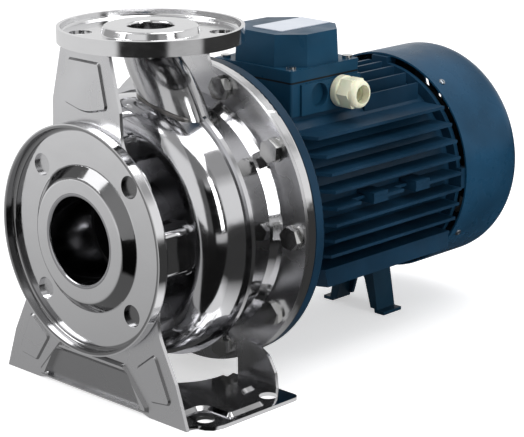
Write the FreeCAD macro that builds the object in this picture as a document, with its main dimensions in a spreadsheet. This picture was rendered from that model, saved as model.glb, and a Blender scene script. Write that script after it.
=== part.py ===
"""Close-coupled surface pump: pressed casing on a sheet support, finned motor behind it."""
import FreeCAD, Part
import math
import os
import Sketcher

# Driving dimensions: name, value, meaning. Lengths in mm, angles in degrees.
SIZES = [
    ("shaft_height", "132", "floor to shaft axis"),
    ("adapter_floor_gap", "6", "floor to the adapter ring"),
    ("discharge_height", "160", "shaft axis to discharge face"),
    ("suction_reach", "80", "discharge axis to suction face"),
    ("port_offset", "11", "middle of the foot bolts to discharge axis"),
    ("clearance", "0.15", "gap round welded and bolted pieces"),
    ("running_gap", "0.05", "radial gap of a running fit"),
    ("press_sheet", "3", "sheet of casing and flanges"),
    ("support_sheet", "3", "sheet of the support stand"),
    ("suction_flange_radius", "92.5", "outside of the suction flange"),
    ("suction_rim_depth", "11", "depth of the turned suction rim"),
    ("suction_web_depth", "8", "suction face to recessed web"),
    ("suction_face_radius", "50", "flat raised suction face"),
    ("suction_shoulder_radius", "59", "foot of the suction shoulder"),
    ("suction_bore_radius", "35", "suction bore"),
    ("suction_bolt_circle", "145", "suction bolt circle diameter"),
    ("suction_hole_radius", "9", "suction bolt hole"),
    ("port_holes", "4", "bolt holes in each port flange"),
    ("discharge_flange_radius", "74", "outside of the discharge flange"),
    ("discharge_rim_depth", "12", "depth of the turned discharge rim"),
    ("discharge_web_depth", "6", "discharge face to recessed web"),
    ("discharge_face_radius", "37", "flat raised discharge face"),
    ("discharge_shoulder_radius", "39.5", "foot of the discharge shoulder"),
    ("discharge_bore_radius", "18.5", "discharge bore"),
    ("discharge_bore_round", "2", "round at the mouth of the discharge bore"),
    ("sleeve_depth", "8", "discharge face to the end of its inner sleeve"),
    ("sleeve_gap", "0.5", "gap between the sleeve and the discharge pipe"),
    ("discharge_bolt_circle", "110", "discharge bolt circle diameter"),
    ("discharge_hole_radius", "9", "discharge bolt hole"),
    ("rim_round", "4", "round of the flange rims"),
    ("arm_length", "27", "front plate to casing wall"),
    ("arm_width", "37", "width of a flange arm"),
    ("arm_inset", "27", "casing radius to the outer side of an arm"),
    ("arm_depth", "23", "inner to outer side of an arm"),
    ("casing_radius", "107", "casing outside at its seam"),
    ("casing_shoulder", "22", "round of the casing shoulder"),
    ("casing_taper", "3", "casing radius lost from seam to shoulder"),
    ("casing_depth", "39", "casing front wall to seam"),
    ("seam_sheet", "2", "sheet of one seam lip"),
    ("seam_lip", "3.5", "lip standing out from the seam"),
    ("rear_cone_length", "10.5", "cone that ends the cylinder"),
    ("rear_cone_rise", "4", "radius gained along the cone"),
    ("rear_plate_reach", "44.5", "discharge axis to rear plate"),
    ("adapter_wrap", "4", "adapter outside to the edge of the casing flange"),
    ("rear_shell_inset", "29", "adapter outside to the cylinder behind the seam"),
    ("adapter_bore_radius", "70", "opening in the adapter ring"),
    ("casing_bolt_edge", "12.5", "adapter outside to the casing bolts"),
    ("casing_bolt_count", "10", "casing bolts"),
    ("casing_bolt_radius", "5", "casing bolt shank"),
    ("casing_bolt_head", "8.5", "half width over flats of the head"),
    ("casing_bolt_head_height", "6", "casing bolt head"),
    ("casing_bolt_depth", "8", "bolt end into the motor flange"),
    ("washer_radius", "10", "washer outside"),
    ("washer_sheet", "1.5", "washer thickness"),
    ("cover_sheet", "4", "casing cover flange"),
    ("cover_gap", "2", "rear shell to the cover dish"),
    ("cover_wall_place", "8", "seam to the front of the cover wall"),
    ("o_ring_inset", "22", "adapter outside to the middle of the casing seal"),
    ("o_ring_section", "1.4", "section radius of the casing seal"),
    ("pipe_top_radius", "22", "discharge pipe under its flange"),
    ("pipe_low_radius", "23", "discharge pipe at the casing"),
    ("pipe_sheet", "2", "sheet of the discharge pipe"),
    ("pipe_lip", "2", "welded lip of the discharge pipe"),
    ("foot_spacing_x", "209", "foot bolts across the pump"),
    ("foot_spacing_y", "70", "foot bolts along the pump"),
    ("foot_hole_radius", "7.4", "foot bolt hole"),
    ("foot_half_width", "108", "half width of the front plate at the floor"),
    ("foot_relief", "2.5", "lift of the front plate between its feet"),
    ("base_edge", "18.5", "foot bolt to the side of the base plate"),
    ("base_cut_radius", "51", "round cut-out at the rear of the base plate"),
    ("base_cut_place", "34", "foot bolts to the middle of the cut-out"),
    ("motor_flange_step", "1", "adapter outside to the motor flange"),
    ("plateau_height", "3", "raised middle of the base plate"),
    ("leg_inner", "53", "pump middle to a rear leg"),
    ("leg_width", "44", "rear leg at the floor"),
    ("motor_flange_sheet", "10", "motor flange thickness"),
    ("barrel_radius", "82", "motor barrel outside"),
    ("barrel_bore_radius", "73", "motor barrel inside"),
    ("barrel_front", "106", "front end of the barrel"),
    ("barrel_length", "180", "motor barrel"),
    ("fin_radius", "101", "circle through the fin tips"),
    ("fin_pitch", "13.8", "fin spacing"),
    ("fin_sheet", "2.6", "fin thickness"),
    ("fin_front", "112", "front end of the fins"),
    ("fin_length", "168.5", "length of the fins"),
    ("rail_reach", "88", "shaft axis to the side of a low rail"),
    ("rail_low", "63", "shaft axis to the underside of a low rail"),
    ("rail_inner", "50", "shaft axis to the root of a low rail"),
    ("fan_cover_radius", "98", "fan cover outside"),
    ("fan_cover_sheet", "1.6", "fan cover sheet"),
    ("fan_cover_front", "291", "front edge of the fan cover"),
    ("fan_cover_length", "83", "fan cover"),
    ("fan_cover_round", "20", "rear round of the fan cover"),
    ("fan_radius", "78", "cooling fan disc"),
    ("shield_rim", "91", "rim of the rear shield inside the fan cover"),
    ("box_half_width", "45", "terminal box across the motor"),
    ("box_front", "124", "front of the terminal box"),
    ("box_length", "83", "terminal box along the motor"),
    ("box_bottom", "73", "shaft axis to the lowest box edge"),
    ("box_rim", "100.7", "shaft axis to the rim of the box base"),
    ("box_wall", "5", "terminal box wall"),
    ("gasket_sheet", "1.5", "terminal box gasket"),
    ("lid_flange", "9.5", "flange of the lid"),
    ("lid_height", "27.2", "lid above its flange"),
    ("lid_half_width", "42", "lid dome half width"),
    ("lid_corner", "19.5", "cut corner of the lid dome"),
    ("entry_radius", "10", "cable entry"),
    ("entry_height", "88", "shaft axis to the cable entries"),
    ("entry_spacing", "25", "cable entry spacing"),
    ("entry_place", "156", "first cable entry"),
    ("gland_length", "26.5", "gland outside the box"),
    ("gland_bore", "8", "cable bore of the gland"),
    ("motor_foot_place", "255", "front of the motor foot"),
    ("motor_foot_length", "24", "motor foot"),
    ("motor_foot_sheet", "3", "motor foot sheet"),
    ("motor_foot_top", "21", "half width of the foot at the motor"),
    ("motor_foot_low", "28.5", "half width of the foot at the floor"),
    ("motor_foot_tab", "8", "tab on the floor"),
    ("motor_foot_screws", "9", "pump middle to a screw of the motor foot"),
    ("foot_pad", "86", "shaft axis to the motor foot seat"),
    ("shaft_radius", "15", "shaft in the rotor"),
    ("impeller_radius", "84", "impeller outside"),
]

document = FreeCAD.newDocument("surface_pump")
sheet = document.addObject("Spreadsheet::Sheet", "Sizes")
for row, (name, number, meaning) in enumerate(SIZES, start=1):
    sheet.set("A%d" % row, name)
    sheet.set("B%d" % row, number)
    sheet.set("C%d" % row, meaning)
    sheet.setAlias("B%d" % row, name)
document.recompute()


class Size:
    """A number and the sheet expression that gives it."""

    def __init__(self, number, text):
        self.number = float(number)
        self.text = text

    def join(self, other, sign, number):
        return Size(number, "(%s %s %s)" % (self.text, sign, size(other).text))

    def __add__(self, other):
        return self.join(other, "+", self.number + size(other).number)

    def __radd__(self, other):
        return size(other) + self

    def __sub__(self, other):
        return self.join(other, "-", self.number - size(other).number)

    def __rsub__(self, other):
        return size(other) - self

    def __mul__(self, other):
        return self.join(other, "*", self.number * size(other).number)

    def __rmul__(self, other):
        return size(other) * self

    def __truediv__(self, other):
        return self.join(other, "/", self.number / size(other).number)

    def __neg__(self):
        return Size(-self.number, "(-1 * %s)" % self.text)


def size(item):
    if isinstance(item, Size):
        return item
    return Size(item, "(%r)" % float(item))


def chord(radius, height):
    """Distance from the centre to a circle of this radius along a line at this height."""
    number = math.sqrt(size(radius).number ** 2 - size(height).number ** 2)
    return Size(number, "sqrt(%s ^ 2 - %s ^ 2)" % (size(radius).text, size(height).text))


class Sheet:
    """The driving dimensions as attributes."""


S = Sheet()
for name, number, meaning in SIZES:
    setattr(S, name, Size(number, "Sizes." + name))

# Pressed panels of the front plate, and the lugs on the barrel's side fins.
panel_depth = size(1.6)
frame_depth = size(2.5)
recess_depth = size(4.5)
lug_places = (165, 219)

# Stations along the shaft, measured from the middle of the foot bolts towards the motor.
face = S.port_offset - S.suction_reach
plate_front = face + S.suction_rim_depth
plate_back = plate_front + S.support_sheet
wall_front = plate_back + S.arm_length
wall_back = wall_front + S.press_sheet
seam = wall_front + S.casing_depth
seam_middle = seam + S.seam_sheet
seam_back = seam_middle + S.seam_sheet
rear_plate = S.port_offset + S.rear_plate_reach
rear_flange = rear_plate + S.support_sheet
cover_flange = rear_flange + S.press_sheet
adapter_plate = cover_flange + S.cover_sheet
motor_flange = adapter_plate + S.press_sheet
neck_radius = S.suction_bore_radius + S.press_sheet

# Radii that follow the adapter ring, and the arms that follow the casing.
adapter_radius = S.shaft_height - S.adapter_floor_gap
rear_flange_radius = adapter_radius - S.adapter_wrap
motor_flange_radius = adapter_radius - S.motor_flange_step
bolt_circle_radius = adapter_radius - S.casing_bolt_edge
o_ring_circle = adapter_radius - S.o_ring_inset
rear_shell_radius = adapter_radius - S.rear_shell_inset
cover_dish_radius = rear_shell_radius - S.press_sheet - S.cover_gap
arm_outer = S.casing_radius - S.arm_inset
arm_inner = arm_outer - S.arm_depth
leg_front = rear_plate - S.support_sheet - S.clearance
base_rear_edge = leg_front - S.clearance
base_half_width = S.foot_spacing_x / 2 + S.base_edge

nodes = []


def bind(item, name, value):
    item.setExpression(name, size(value).text)


def body(label, on_shaft=True):
    """A new body, on the shaft axis or on the floor."""
    item = document.addObject("PartDesign::Body", label)
    item.Label = label
    item.AllowCompound = True
    if on_shaft:
        bind(item, "Placement.Base.z", S.shaft_height)
    nodes.append(item)
    return item


def origin_feature(item, role):
    return [part for part in item.Origin.OriginFeatures if part.Role == role][0]


def new_sketch(item, name, role, offset=0):
    """A sketch on an origin plane of its own body, moved along the plane's normal."""
    sketch = item.newObject("Sketcher::SketchObject", name)
    sketch.AttachmentSupport = [(origin_feature(item, role), "")]
    sketch.MapMode = "FlatFace"
    bind(sketch, "AttachmentOffset.Base.z", offset)
    return sketch


def constrain(sketch, constraint, value):
    index = sketch.addConstraint(constraint)
    sketch.setExpression("Constraints[%d]" % index, size(value).text)


def place_point(sketch, geometry, position, point):
    """Ties a point of the sketch to two sizes."""
    x, y = size(point[0]), size(point[1])
    constrain(sketch, Sketcher.Constraint("DistanceX", -1, 1, geometry, position, x.number), x)
    constrain(sketch, Sketcher.Constraint("DistanceY", -1, 1, geometry, position, y.number), y)


def add_circle(sketch, x, y, radius):
    centre = FreeCAD.Vector(size(x).number, size(y).number, 0)
    normal = FreeCAD.Vector(0, 0, 1)
    geometry = sketch.addGeometry(Part.Circle(centre, normal, size(radius).number), False)
    place_point(sketch, geometry, 3, (x, y))
    constrain(sketch, Sketcher.Constraint("Radius", geometry, size(radius).number), radius)


def add_outline(sketch, points, rounds=None):
    """A closed outline through bound corners; rounds maps a corner to its radius."""
    rounds = rounds or {}
    count = len(points)
    corner = [FreeCAD.Vector(size(x).number, size(y).number, 0) for x, y in points]
    before, after, arcs = list(corner), list(corner), {}
    for index, radius in rounds.items():
        incoming = (corner[index] - corner[index - 1]).normalize()
        outgoing = (corner[(index + 1) % count] - corner[index]).normalize()
        turn = incoming.cross(outgoing).z
        half = incoming.getAngle(outgoing) / 2
        reach = size(radius).number * math.tan(half)
        before[index] = corner[index] - incoming * reach
        after[index] = corner[index] + outgoing * reach
        side = FreeCAD.Vector(-incoming.y, incoming.x, 0) * math.copysign(1, turn)
        centre = before[index] + side * size(radius).number
        ends = (before[index], after[index]) if turn > 0 else (after[index], before[index])
        angles = [math.atan2(end.y - centre.y, end.x - centre.x) for end in ends]
        arcs[index] = (centre, angles, turn > 0)
    lines = []
    for index in range(count):
        line = Part.LineSegment(after[index], before[(index + 1) % count])
        lines.append(sketch.addGeometry(line, False))
    for index in range(count):
        incoming, outgoing = lines[index - 1], lines[index]
        if index not in rounds:
            sketch.addConstraint(Sketcher.Constraint("Coincident", incoming, 2, outgoing, 1))
            place_point(sketch, outgoing, 1, points[index])
            continue
        centre, angles, left = arcs[index]
        circle = Part.Circle(centre, FreeCAD.Vector(0, 0, 1), size(rounds[index]).number)
        arc = sketch.addGeometry(Part.ArcOfCircle(circle, angles[0], angles[1]), False)
        first, last = (1, 2) if left else (2, 1)
        mark = sketch.addGeometry(Part.Point(corner[index]), True)
        sketch.addConstraint([
            Sketcher.Constraint("Tangent", incoming, 2, arc, first),
            Sketcher.Constraint("Tangent", arc, last, outgoing, 1),
            Sketcher.Constraint("PointOnObject", mark, 1, incoming),
            Sketcher.Constraint("PointOnObject", mark, 1, outgoing),
        ])
        radius_constraint = Sketcher.Constraint("Radius", arc, size(rounds[index]).number)
        constrain(sketch, radius_constraint, rounds[index])
        place_point(sketch, mark, 1, points[index])


def revolve(item, name, points, rounds=None, kind="PartDesign::Revolution",
            role="YZ_Plane", axis="H_Axis"):
    """Turns an outline of corners about an axis of its plane, first the shaft's own."""
    sketch = new_sketch(item, name + "_sketch", role)
    add_outline(sketch, points, rounds)
    feature = item.newObject(kind, name)
    feature.Profile = sketch
    feature.ReferenceAxis = (sketch, [axis])
    feature.Angle = 360
    sketch.Visibility = False
    return feature


def groove(item, name, points, rounds=None):
    return revolve(item, name, points, rounds, "PartDesign::Groove")


def rectangle(left, right, low, high):
    return [(left, low), (right, low), (right, high), (left, high)]


def hexagon(x, y, half_flat):
    """Corners of a hexagon from half its width over flats."""
    corner = size(half_flat) * (2 / math.sqrt(3))
    turns = [math.radians(angle) for angle in range(0, 360, 60)]
    return [(x + corner * round(math.cos(turn), 9), y + corner * round(math.sin(turn), 9))
            for turn in turns]


def both_sides(points, rounds):
    """An outline of points on the right, and their mirror images on the left."""
    last = 2 * len(points) - 1
    mirrored = [(-size(x), y) for x, y in points[::-1]]
    return points + mirrored, {**rounds, **{last - index: rounds[index] for index in rounds}}


def on_circle(radius, angle):
    """A point at an angle from straight up, clockwise from the suction side."""
    turn = math.radians(angle)
    return size(radius) * round(math.sin(turn), 9), size(radius) * round(math.cos(turn), 9)


def prism(item, name, role, start, length, outlines=(), circles=(), cut=False, taper=0):
    """Pads or cuts outlines from a station along the plane's axis, always the positive way.

    The XZ plane faces the suction side, so its start and direction are turned round.
    """
    across = role == "XZ_Plane"
    sketch = new_sketch(item, name + "_sketch", role, -size(start) if across else start)
    for outline in outlines:
        points, rounds = outline if isinstance(outline, tuple) else (outline, None)
        add_outline(sketch, points, rounds)
    for x, y, radius in circles:
        add_circle(sketch, x, y, radius)
    kind = "PartDesign::Pocket" if cut else "PartDesign::Pad"
    feature = item.newObject(kind, name)
    feature.Profile = sketch
    bind(feature, "Length", length)
    feature.Reversed = across != cut
    feature.TaperAngle = taper
    sketch.Visibility = False
    return feature, sketch


def repeat(item, name, features, count, axis="Y_Axis"):
    """Repeats features evenly about an axis of their body, first the shaft's own."""
    item.Tip = features[-1]
    feature = item.newObject("PartDesign::PolarPattern", name)
    feature.Originals = features
    feature.Axis = (origin_feature(item, axis), [""])
    feature.Angle = 360
    bind(feature, "Occurrences", count)
    item.Tip = feature
    return feature


def mirror(item, name, features, sketch):
    """Repeats features on the other side of the pump's middle plane."""
    item.Tip = features[-1]
    feature = item.newObject("PartDesign::Mirrored", name)
    feature.Originals = features
    feature.MirrorPlane = (sketch, ["V_Axis"])
    item.Tip = feature
    return feature


def ring(item, name, start, end, inner, outer, rounds=None):
    """A plain ring about the shaft axis."""
    points = [(start, inner), (end, inner), (end, outer), (start, outer)]
    return revolve(item, name, points, rounds)


def ring_node(label, start, end, inner, outer, rounds=None):
    item = body(label)
    ring(item, "ring", start, end, inner, outer, rounds)
    return item


def emboss(item, name, points, rounds, depth, outward=True):
    """Presses a panel of the front plate towards or away from the suction side."""
    taper = -45
    if outward:
        raised, sketch = prism(item, name + "_raised", "XZ_Plane", plate_front, depth,
                               [(points, rounds)], taper=taper)
        raised.Reversed = False
        hollow, sketch = prism(item, name + "_hollow", "XZ_Plane", plate_back, depth,
                               [(points, rounds)], cut=True, taper=taper)
        hollow.Reversed = True
    else:
        raised, sketch = prism(item, name + "_raised", "XZ_Plane", plate_back, depth,
                               [(points, rounds)], taper=taper)
        hollow, sketch = prism(item, name + "_hollow", "XZ_Plane", plate_front, depth,
                               [(points, rounds)], cut=True, taper=taper)
    return [raised, hollow], sketch


# Suction flange: a pressed dish with its rim turned forward and a raised gasket face.
def make_suction_flange():
    item = body("suction_flange")
    web = face + S.suction_web_depth
    back = face + S.suction_rim_depth
    lip = S.suction_flange_radius - S.press_sheet
    bore = neck_radius + S.clearance
    revolve(item, "dish", [
        (face, bore), (face, S.suction_face_radius), (web, S.suction_shoulder_radius),
        (web, lip), (face, lip), (face, S.suction_flange_radius),
        (back, S.suction_flange_radius), (back, S.suction_shoulder_radius - 2),
        (face + S.press_sheet, S.suction_face_radius - 2), (face + S.press_sheet, bore),
    ], {1: 4, 2: 2, 3: 2.5, 6: S.rim_round})
    x, z = on_circle(S.suction_bolt_circle / 2, 45)
    hole, sketch = prism(item, "bolt_hole", "XZ_Plane", face, S.suction_rim_depth,
                         circles=[(x, z, S.suction_hole_radius)], cut=True)
    repeat(item, "bolt_holes", [hole], S.port_holes)


# Suction neck: the tube that carries the flange on the casing.
def make_suction_neck():
    item = body("suction_neck")
    revolve(item, "tube", [
        (face, S.suction_bore_radius), (wall_back, S.suction_bore_radius),
        (wall_back, neck_radius), (face, neck_radius),
    ], {0: 1.8})


# Discharge flange: the same pressing, smaller and turned up.
def make_discharge_flange():
    item = body("discharge_flange")
    bind(item, "Placement.Base.y", S.port_offset)
    top = S.discharge_height
    web = top - S.discharge_web_depth
    back = top - S.discharge_rim_depth
    rim = S.discharge_flange_radius
    lip = rim - S.press_sheet
    under = web - S.press_sheet
    sleeve = S.pipe_top_radius - S.pipe_sheet - S.sleeve_gap
    revolve(item, "dish", [
        (S.discharge_bore_radius, top), (S.discharge_face_radius, top),
        (S.discharge_shoulder_radius, web), (lip, web), (lip, top), (rim, top), (rim, back),
        (lip, back), (lip, under), (S.discharge_shoulder_radius - 2, under),
        (S.discharge_face_radius - 1.5, top - S.press_sheet), (sleeve, top - S.press_sheet),
        (sleeve, top - S.sleeve_depth), (S.discharge_bore_radius, top - S.sleeve_depth),
    ], {0: S.discharge_bore_round, 1: 2, 2: 1, 3: 2.5}, axis="V_Axis")
    x, y = on_circle(S.discharge_bolt_circle / 2, 45)
    hole, sketch = prism(item, "bolt_hole", "XY_Plane", back, S.discharge_rim_depth,
                         circles=[(x, y, S.discharge_hole_radius)], cut=True)
    repeat(item, "bolt_holes", [hole], S.port_holes, "Z_Axis")


# Path of the discharge pipe: height, lean, tilt in degrees and outside radius of each section.
def pipe_path():
    wide = S.pipe_low_radius
    narrow = S.pipe_top_radius
    casing = S.casing_radius
    return [
        (S.discharge_height - S.press_sheet - S.clearance, 0, 0, narrow),
        (casing + 27, 1.5, 12, narrow),
        (casing + 11, 12.5, 35, (narrow + wide) / 2),
        (casing - 4, 24, 34, wide),
        (casing - 17, 31.5, 26, wide),
        (casing - 32, 38.5, 24, wide),
        (casing - 53, 47.5, 23, wide),
    ]


def pipe_loft(item, name, kind, extra):
    """The swan neck as a loft, its radius changed by an extra."""
    sections = []
    for index, (height, lean, tilt, radius) in enumerate(pipe_path()):
        sketch = new_sketch(item, "%s_section_%d" % (name, index), "XY_Plane", height)
        turn = FreeCAD.Rotation(FreeCAD.Vector(0, 1, 0), -tilt)
        place = sketch.AttachmentOffset.Base
        sketch.AttachmentOffset = FreeCAD.Placement(place, turn)
        bind(sketch, "AttachmentOffset.Base.x", lean)
        bind(sketch, "AttachmentOffset.Base.y", S.port_offset)
        add_circle(sketch, 0, 0, radius + extra)
        sketch.Visibility = False
        sections.append(sketch)
    loft = item.newObject(kind, name)
    loft.Profile = sections[0]
    loft.Sections = sections[1:]
    return loft


# Discharge pipe: two half pressings welded along lips that lie in the casing's seam plane.
def make_discharge_pipe():
    item = body("discharge_pipe")
    reach = S.casing_radius * 3
    pipe_loft(item, "lips", "PartDesign::AdditiveLoft", S.pipe_lip)
    sides = [rectangle(-reach, reach, -reach, reach)]
    before, sketch = prism(item, "lip_front", "XZ_Plane", seam - S.casing_radius,
                           S.casing_radius, sides, cut=True)
    after, sketch = prism(item, "lip_back", "XZ_Plane", seam_back, S.casing_radius, sides, cut=True)
    pipe_loft(item, "pipe", "PartDesign::AdditiveLoft", 0)
    pipe_loft(item, "bore", "PartDesign::SubtractiveLoft", -S.pipe_sheet)
    gap = S.clearance
    front_radius = S.casing_radius - S.casing_taper + gap
    groove(item, "casing_seat", [
        (wall_front - gap, 0), (wall_front - gap, front_radius), (seam, S.casing_radius + gap),
        (seam, S.casing_radius + S.seam_lip + gap), (seam_back, S.casing_radius + S.seam_lip + gap),
        (seam_back, rear_shell_radius + gap),
        (rear_plate - S.rear_cone_length, rear_shell_radius + gap),
        (rear_plate, rear_shell_radius + S.rear_cone_rise + gap), (rear_plate, 0),
    ], {1: S.casing_shoulder + gap})


# Front casing half: flat wall, round shoulder and a lip at the seam.
def make_casing_front_shell():
    item = body("casing_front_shell")
    shoulder = S.casing_radius - S.casing_taper
    bore = neck_radius + S.clearance
    revolve(item, "shell", [
        (wall_front, bore), (wall_front, shoulder), (seam, S.casing_radius),
        (seam, S.casing_radius + S.seam_lip), (seam_middle, S.casing_radius + S.seam_lip),
        (seam_middle, S.casing_radius - S.press_sheet),
        (wall_back, shoulder - S.press_sheet), (wall_back, bore),
    ], {1: S.casing_shoulder, 6: S.casing_shoulder - S.press_sheet})
    pipe_loft(item, "throat", "PartDesign::SubtractiveLoft", -S.pipe_sheet)


# Rear casing half: lip, cylinder, short cone and the bolted flange.
def make_casing_rear_shell():
    item = body("casing_rear_shell")
    inner = rear_shell_radius - S.press_sheet
    cone = rear_plate - S.rear_cone_length
    wide = rear_shell_radius + S.rear_cone_rise
    revolve(item, "shell", [
        (seam_middle, inner), (seam_middle, S.casing_radius + S.seam_lip),
        (seam_back, S.casing_radius + S.seam_lip), (seam_back, rear_shell_radius),
        (cone, rear_shell_radius), (rear_plate, wide), (rear_flange, wide),
        (rear_flange, rear_flange_radius), (cover_flange, rear_flange_radius),
        (cover_flange, wide - S.press_sheet), (rear_plate, wide - S.press_sheet), (cone, inner),
    ])
    bolt_holes(item, rear_flange, S.press_sheet)
    pipe_loft(item, "throat", "PartDesign::SubtractiveLoft", -S.pipe_sheet)


def bolt_holes(item, start, depth, radius=None):
    """The ring of casing bolt holes through a sheet."""
    x, z = on_circle(bolt_circle_radius, 18)
    wide = S.casing_bolt_radius + 0.5 if radius is None else radius
    hole, sketch = prism(item, "bolt_hole", "XZ_Plane", start, depth, circles=[(x, z, wide)], cut=True)
    repeat(item, "bolt_holes", [hole], S.casing_bolt_count)


# Support arms: four hollow boxes between the front plate and the casing wall.
def make_support_arms():
    item = body("support_arms")
    half = S.arm_width / 2
    gap = S.clearance
    rim = 2.5
    arm, sketch = prism(item, "arm", "XZ_Plane", plate_back, S.arm_length - gap, [
        (rectangle(-half, half, arm_inner, arm_outer), {0: 5, 1: 5, 2: 5, 3: 5})])
    root, sketch = prism(item, "root", "XZ_Plane", wall_front - gap - 3, 3, [
        (rectangle(-half - rim, half + rim, arm_inner - rim, arm_outer + rim),
         {0: 7, 1: 7, 2: 7, 3: 7})])
    hollow, sketch = prism(item, "hollow", "XZ_Plane", plate_back, S.arm_length, [
        (rectangle(rim - half, half - rim, arm_inner + rim, arm_outer - rim),
         {0: 3, 1: 3, 2: 3, 3: 3})], cut=True)
    repeat(item, "arms", [arm, root, hollow], 4)


# Front plate of the support: a waisted sheet with pressed panels.
def make_support_front_plate():
    item = body("support_front_plate")
    top = S.discharge_height - S.discharge_rim_depth - S.clearance
    floor = -S.shaft_height
    foot = S.foot_half_width
    outline = both_sides([
        (28, top), (39, top - 42), (40, 76), (68, 60), (82, 8), (76, -58), (foot - 12, floor + 35),
        (foot, floor), (66, floor), (55, floor + S.foot_relief),
    ], {2: 20, 3: 30, 4: 30, 5: 40})
    prism(item, "sheet", "XZ_Plane", plate_front, S.support_sheet, [outline])
    prism(item, "neck_hole", "XZ_Plane", plate_front, S.support_sheet,
          circles=[(0, 0, neck_radius + S.clearance)], cut=True)
    emboss(item, "top_panel", [
        (18, top - 6), (-18, top - 6), (-26, top - 42), (0, top - 48), (26, top - 42),
    ], {0: 3, 1: 3, 2: 4, 3: 40, 4: 4}, panel_depth)
    features, sketch = emboss(item, "side_panel", [
        (51.5, floor + 38), (74.5, floor + 55.5), (92.5, floor + 16.5), (68.5, floor + 13.5),
    ], {0: 4, 1: 4, 2: 4, 3: 4}, panel_depth)
    mirror(item, "side_panels", features, sketch)
    frame = both_sides([(38, floor + 38), (42, floor + 35), (65.5, floor + 8.5), (65.5, floor + 3)],
                       {0: 2})
    raised, sketch = prism(item, "centre_frame", "XZ_Plane", plate_front, frame_depth, [frame],
                           taper=-45)
    raised.Reversed = False
    recess = both_sides([(43, floor + 33.5), (59.5, floor + 4.5)], {0: 2, 1: 1})
    prism(item, "recess_back", "XZ_Plane", plate_back, recess_depth - frame_depth, [recess])
    prism(item, "recess", "XZ_Plane", plate_front - frame_depth, recess_depth, [recess], cut=True,
          taper=-45)
    prism(item, "recess_foot", "XZ_Plane", plate_front - frame_depth, recess_depth,
          [rectangle(-55, 55, floor + 4.5, floor + 12)], cut=True)


# Rear plate of the support: a ring round the casing with a tab up to the discharge flange.
def make_support_rear_plate():
    item = body("support_rear_plate")
    top = S.discharge_height - S.discharge_rim_depth - S.clearance
    prism(item, "ring", "XZ_Plane", rear_plate, S.support_sheet, circles=[(0, 0, adapter_radius)])
    prism(item, "tab", "XZ_Plane", rear_plate, S.support_sheet, [
        ([(-17, top), (-17, top - 24), (-44, adapter_radius - 12), (44, adapter_radius - 12),
          (17, top - 24), (17, top)], {1: 14, 4: 14})])
    shell = rear_shell_radius + S.rear_cone_rise + S.clearance
    prism(item, "casing_hole", "XZ_Plane", rear_plate, S.support_sheet,
          circles=[(0, 0, shell)], cut=True)
    bolt_holes(item, rear_plate, S.support_sheet)


# Rear legs: two plates lapped on the front of the ring, down to the floor behind the base.
def make_support_rear_legs():
    item = body("support_rear_legs")
    floor = -S.shaft_height
    inner = S.leg_inner
    outer = S.leg_inner + S.leg_width
    leg, sketch = prism(item, "leg", "XZ_Plane", leg_front, S.support_sheet, [
        ([(inner, floor), (outer, floor), (outer - 2, floor + 15), (outer - 9, floor + 27),
          (outer - 22, floor + 34), (inner + 11, floor + 36), (inner, floor + 32)],
         {2: 6, 3: 10, 4: 10, 6: 2})])
    mirror(item, "legs", [leg], sketch)


# Base plate: bolted to the floor, with a raised middle and a round cut-out under the casing.
def make_support_base_plate():
    item = body("support_base_plate", False)
    front = plate_back + S.clearance
    wide = base_half_width
    outline = both_sides([
        (wide - 16.5, front), (wide - 14, front + 7), (wide - 7.5, front + 9),
        (wide - 2.4, front + 13), (wide, front + 22), (wide, base_rear_edge),
    ], {1: 3, 3: 4, 5: 6})
    prism(item, "sheet", "XY_Plane", 0, S.support_sheet, [outline])
    x, y = S.foot_spacing_x / 2, S.foot_spacing_y / 2
    plateau = both_sides([
        (x - 16.5, front + 7), (x - 16.5, 15 - y), (wide - 6.3, 15 - y), (wide - 6.3, y - 15),
        (x - 16.5, y - 15), (x - 16.5, base_rear_edge - 12),
    ], {0: 6, 1: 9, 2: 5, 3: 5, 4: 9, 5: 6})
    height = S.plateau_height
    prism(item, "plateau", "XY_Plane", S.support_sheet, height, [plateau], taper=-45)
    prism(item, "plateau_hollow", "XY_Plane", 0, height, [plateau], cut=True, taper=-45)
    prism(item, "cut_out", "XY_Plane", 0, S.support_sheet + height,
          circles=[(0, S.base_cut_place, S.base_cut_radius)], cut=True)
    prism(item, "foot_holes", "XY_Plane", 0, S.support_sheet, circles=[
        (x, y, S.foot_hole_radius), (-x, y, S.foot_hole_radius),
        (x, -y, S.foot_hole_radius), (-x, -y, S.foot_hole_radius)], cut=True)


# Casing cover: a dish behind the impeller with the seal pocket and the bolted flange.
def make_casing_cover():
    item = body("casing_cover")
    wall = seam + S.cover_wall_place
    dish = cover_dish_radius
    flange = rear_flange_radius
    pocket = seal_radius
    revolve(item, "dish", [
        (wall, pocket), (wall, dish), (cover_flange, dish), (cover_flange, flange),
        (adapter_plate, flange), (adapter_plate, dish - S.press_sheet),
        (wall + S.press_sheet, dish - S.press_sheet), (wall + S.press_sheet, pocket + S.press_sheet),
        (seal_back + S.press_sheet, pocket + S.press_sheet), (seal_back + S.press_sheet, shaft_hole),
        (seal_back, shaft_hole), (seal_back, pocket),
    ], {1: 5, 6: 2})
    section = S.o_ring_section
    groove(item, "seal_groove", rectangle(
        cover_flange - 1, cover_flange + section * 2, o_ring_circle - section - 0.4,
        o_ring_circle + section + 0.4))
    bolt_holes(item, cover_flange, S.cover_sheet)


# Casing seal: the round-section ring in the cover flange.
def make_casing_o_ring():
    item = body("casing_o_ring")
    sketch = new_sketch(item, "section", "YZ_Plane")
    add_circle(sketch, cover_flange + S.o_ring_section, o_ring_circle, S.o_ring_section)
    turn = item.newObject("PartDesign::Revolution", "ring")
    turn.Profile = sketch
    turn.ReferenceAxis = (sketch, ["H_Axis"])
    turn.Angle = 360


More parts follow.
